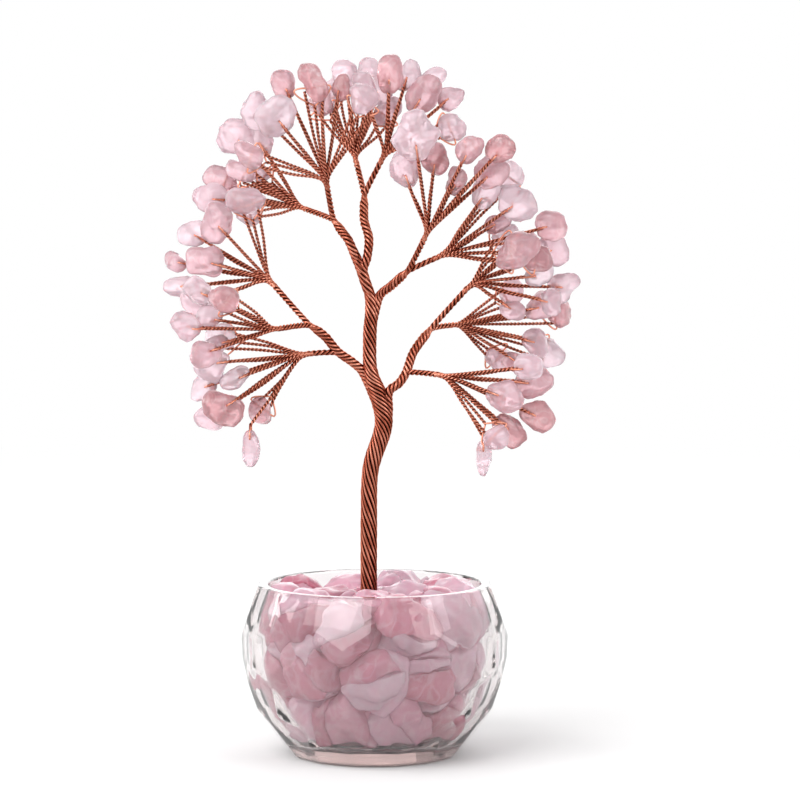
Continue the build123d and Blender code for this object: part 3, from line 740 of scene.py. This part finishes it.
# Stems: one rope for each spray, from inside its branch to the hub
stemMake = {
    "strands": 3, "wire": 0.36, "girth": 0.78, "lay": 4.2, "step": 0.35, "inside": 4.0, "blend": 1.2,
    "taper": 1.6, "tip": 0.5, "beforeFork": 0.8, "pastPivot": 0.6,
}
for number, (name, spray) in enumerate(sprays.items()):
    points = branchRopes[spray["branch"]]["points"]
    middle = (spray["layer"] - (sprayMake["layers"] - 1) / 2) * sprayMake["pitch"]
    spray["middle"] = middle
    hub = treePoint(spray["hub"][0], middle * sprayMake["hubShare"], spray["hub"][1])
    fork = points[spray["point"]]
    atEnd = spray["point"] == len(points) - 1
    reach = (sprayMake["knob"] if atEnd else branchMake["girth"]) + sprayMake["seatDepth"]
    way = (hub - fork).normalized()
    pivot = fork + way * reach * mm
    along = (fork - points[spray["point"] - 1]).normalized()
    start = fork - along * stemMake["inside"] * mm
    leave = fork - along * stemMake["beforeFork"] * mm
    route = smoothRoute([start, leave, pivot + way * stemMake["pastPivot"] * mm, hub], stemMake["step"])
    girths = taperedGirths(route, stemMake["girth"], stemMake["tip"], stemMake["taper"])
    piece = ropePiece(name + "_stemRope", stemMake, route, girths, number)
    spray["hubPoint"] = hub
    spray["stemWay"] = way
    reach = way * stemMake["blend"] * mm
    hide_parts(name + "_stem")
    spray["branch"] + "_limb"
    pivot - reach
    pivot + reach
    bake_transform(piece)
print("stems laid up")

# Twigs: one wire for each chip, doubled and twisted, and opened into the loop that holds the chip,
# with a shorter pair on either side
twigMake = {
    "wire": 0.225, "pair": 0.225, "lay": 2.0, "step": 0.25, "inside": 2.8, "row": 0.58, "legStep": 0.5,
    # openness lightens the painted shade between the twisted wires
    "legShare": 0.8, "holeShare": 0.92, "openness": 0.45, "level": 0.6, "seed": 300,
    "leaveAt": 0.08, "bow": 0.5, "depthBow": 0.3, "bowAt": 0.55,
    "sideShift": (0.36, 0.58), "sideSink": 0.85, "sideBow": 0.5, "sideBowAt": (0.45, 0.65), "turns": 6,
}
twigGirth = twigMake["pair"] + twigMake["wire"]


def chipHolds(spray):  # start, fork, hole and direction of every loop
    holds = []
    for side, shift in (("front", -1), ("back", 1)):
        start = spray["hubPoint"] + depthAxis * shift * twigMake["row"] * mm
        depth = spray["middle"] + shift * sprayMake["rowOffset"]
        for x, height, size in spray[side]:
            centre = treePoint(x, depth, height)
            along = (centre - start).normalized()
            half = chips["height"] * size / 2 * mm
            holds.append({
                "start": start, "along": along, "half": half, "hands": (-1, 1),
                "hole": centre - along * half * chips["holeLevel"],
                "fork": centre - along * (half + chips["forkDrop"] * mm)})
        if "drop" in spray and spray["drop"][2] == side:
            hole = treePoint(spray["drop"][0], depth, spray["drop"][1])
            down = Vector((0, 0, -1))
            holds.append({
                "start": start, "along": down, "half": chips["dropHeight"] / 2 * mm, "hands": (),
                "hole": hole, "fork": hole - down * chips["dropFork"] * mm})
    return holds


def loopReach(hold, twigSolids):  # the loop's half width, read from the CAD twig that passes this fork
    fork, hole, along = hold["fork"], hold["hole"], hold["along"]
    solid = min(twigSolids, key=lambda points: min((point - fork).length for point in points))
    level = [point - hole for point in solid if abs((point - hole).dot(along)) < twigMake["level"] * mm]
    flat = [offset - along * offset.dot(along) for offset in level]
    longest = max(flat, key=lambda offset: offset.length)
    return longest.normalized() * (longest.length - twigMake["wire"] * mm)


def twistedPair(start, tip, middle, spray, draw):  # from inside the hub to the tip
    inside = start - spray["stemWay"] * twigMake["inside"] * mm
    route = smoothRoute([inside, start.lerp(tip, twigMake["leaveAt"]), middle, tip], twigMake["step"])
    girths, lays = [twigGirth] * len(route), [twigMake["lay"]] * len(route)
    return ropeStrands(route, girths, lays, 2, twigMake["wire"], draw.uniform(0, twigMake["turns"])), route


def twigWire(hold, across, spray, draw):
    start, fork, along, hole = hold["start"], hold["fork"], hold["along"], hold["hole"]
    sway = twigMake["depthBow"]
    bow = Vector((draw.uniform(-1, 1), draw.uniform(-sway, sway), draw.uniform(-1, 1)))
    middle = start.lerp(fork, twigMake["bowAt"]) + bow * twigMake["bow"] * mm
    (one, two), route = twistedPair(start, fork, middle, spray, draw)
    shoulder = along * (-hold["half"] * chips["shoulder"])
    if (one[-1] - fork).dot(across) < 0:
        across = -across
    near, far = across * twigMake["legShare"], across * twigMake["holeShare"]
    leg = [one[-1], hole + near + shoulder, hole + far, hole, hole - far, hole - near + shoulder, two[-1]]
    loop = smoothRoute(leg, twigMake["legStep"])
    return one + loop[1:-1] + two[::-1], route


def sideTwig(hold, across, spray, hand, draw):  # a pair beside the first, which ends inside the chip
    start, side = hold["start"], across * hand
    tip = hold["fork"].lerp(hold["hole"], twigMake["sideSink"])
    tip += side * draw.uniform(*twigMake["sideShift"])
    bow = side.normalized() * draw.uniform(-1, 1) * twigMake["sideBow"] * mm
    middle = start.lerp(tip, draw.uniform(*twigMake["sideBowAt"])) + bow
    return twistedPair(start, tip, middle, spray, draw)


for number, (name, spray) in enumerate(sprays.items()):
    draw = random.Random(twigMake["seed"] + number)
    twigSolids = solidsOf(name + "_twigs")
    wires = []
    axis = []
    for hold in chipHolds(spray):
        across = loopReach(hold, twigSolids)
        wire, route = twigWire(hold, across, spray, draw)
        wires.append((wire, [1.0] * len(wire)))
        axis += [(point, twigGirth) for point in route]
        for hand in hold["hands"]:
            pair, route = sideTwig(hold, across, spray, hand, draw)
            wires += [(strand, [1.0] * len(strand)) for strand in pair]
            axis += [(point, twigGirth) for point in route]
    mesh = wireMesh(name + "_twigWires", wires, twigMake["wire"], axis, twigMake["openness"])
    piece = meshPiece(name + "_twigWires", mesh, copperWire)
    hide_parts(name + "_twigs")
    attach(piece, name + "_spray")
print("twigs twisted")

# Bowl: the CAD bowl with its edges melted soft
glassBowl = {"grain": 0.55, "rounds": 4}
bowl = wornEven(weldedNode("glass_bowl"), glassBowl["grain"], glassBowl["rounds"])
mesh = bpy.data.meshes.new("glassBowl")
bowl.to_mesh(mesh)
bowl.free()
bowlPiece = meshPiece("glassBowl", mesh, clearGlass)
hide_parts("glass_bowl")
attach(bowlPiece, "pot")
for node, finish in (("resin_bed", castResin), ("root_wires", copperWire)):
    nodes[node].data.materials.clear()
    nodes[node].data.materials.append(finish)
print("bowl softened")

# Stage: pale floor that fades to white, white surround, soft lamps and the camera
stage = {
    "floorDrop": 0.3, "floorRadius": 3.0, "floorSides": 64, "floorColour": (0.93, 0.93, 0.93, 1),
    "fadeFrom": 0.25, "fadeTo": 0.9, "ambient": 0.62, "aim": (0, 0, 0.1),
}
bm = bmesh.new()
bmesh.ops.create_circle(bm, cap_ends=True, segments=stage["floorSides"], radius=stage["floorRadius"])
bmesh.ops.translate(bm, vec=(0, 0, -stage["floorDrop"] * mm), verts=bm.verts[:])
mesh = bpy.data.meshes.new("floor")
bm.to_mesh(mesh)
bm.free()
material, flow, place = newFinish("paleFloor")
away = flow.add("ShaderNodeVectorMath", {"operation": "LENGTH"}, {0: place}, "Value")
pale = flow.add("ShaderNodeBsdfDiffuse", None, {"Color": stage["floorColour"]})
white = flow.add("ShaderNodeEmission", None, {"Color": (1, 1, 1, 1), "Strength": 1.0})
fade = away.between(stage["fadeFrom"], stage["fadeTo"])
surface = flow.add("ShaderNodeMixShader", None, {0: fade, 1: pale, 2: white})
flow.add("ShaderNodeOutputMaterial", None, {"Surface": surface})
floor = meshPiece("floor", mesh, material)

world = bpy.data.worlds.new("studio")
scene.world = world
world.use_nodes = True
world.node_tree.nodes.clear()
flow = Flow(world.node_tree)
rays = {name: flow.add("ShaderNodeLightPath", None, None, name) for name in (
    "Is Camera Ray", "Is Glossy Ray", "Is Transmission Ray")}
seen = rays["Is Camera Ray"].most(rays["Is Glossy Ray"]).most(rays["Is Transmission Ray"])
strength = stage["ambient"] + seen * (1 - stage["ambient"])
surround = flow.add("ShaderNodeBackground", None, {"Color": (1, 1, 1, 1), "Strength": strength})
flow.add("ShaderNodeOutputWorld", None, {"Surface": surround})

lamps = {
    "keyLamp": {"at": (-0.55, -0.55, 0.62), "size": 0.85, "power": 7.0},
    "fillLamp": {"at": (0.7, -0.4, 0.35), "size": 0.5, "power": 2.2},
    "edgeLamp": {"at": (-0.8, 0.2, 0.32), "size": 0.35, "power": 1.6},
    "backLamp": {"at": (0.15, 0.7, 0.5), "size": 0.9, "power": 2.4},
}
aim = Vector(stage["aim"])
for name, lamp in lamps.items():
    light = bpy.data.lights.new(name, "AREA")
    light.size = lamp["size"]
    light.energy = lamp["power"]
    holder = bpy.data.objects.new(name, light)
    holder.location = lamp["at"]
    holder.rotation_euler = (aim - Vector(lamp["at"])).to_track_quat("-Z", "Y").to_euler()
    scene.collection.objects.link(holder)

view = {
    "at": (0.0064, -0.8, 0.147), "aim": (0.0064, 0.0, 0.089),
    "lens": 144.0, "sensor": 36.0, "nearest": 0.01,
}
camera = bpy.data.cameras.new("camera")
camera.lens = view["lens"]
camera.sensor_width = view["sensor"]
camera.clip_start = view["nearest"]
holder = bpy.data.objects.new("camera", camera)
holder.location = view["at"]
holder.rotation_euler = (Vector(view["aim"]) - Vector(view["at"])).to_track_quat("-Z", "Y").to_euler()
scene.collection.objects.link(holder)
scene.camera = holder
scene.view_settings.view_transform = "Standard"
print("stage lit")
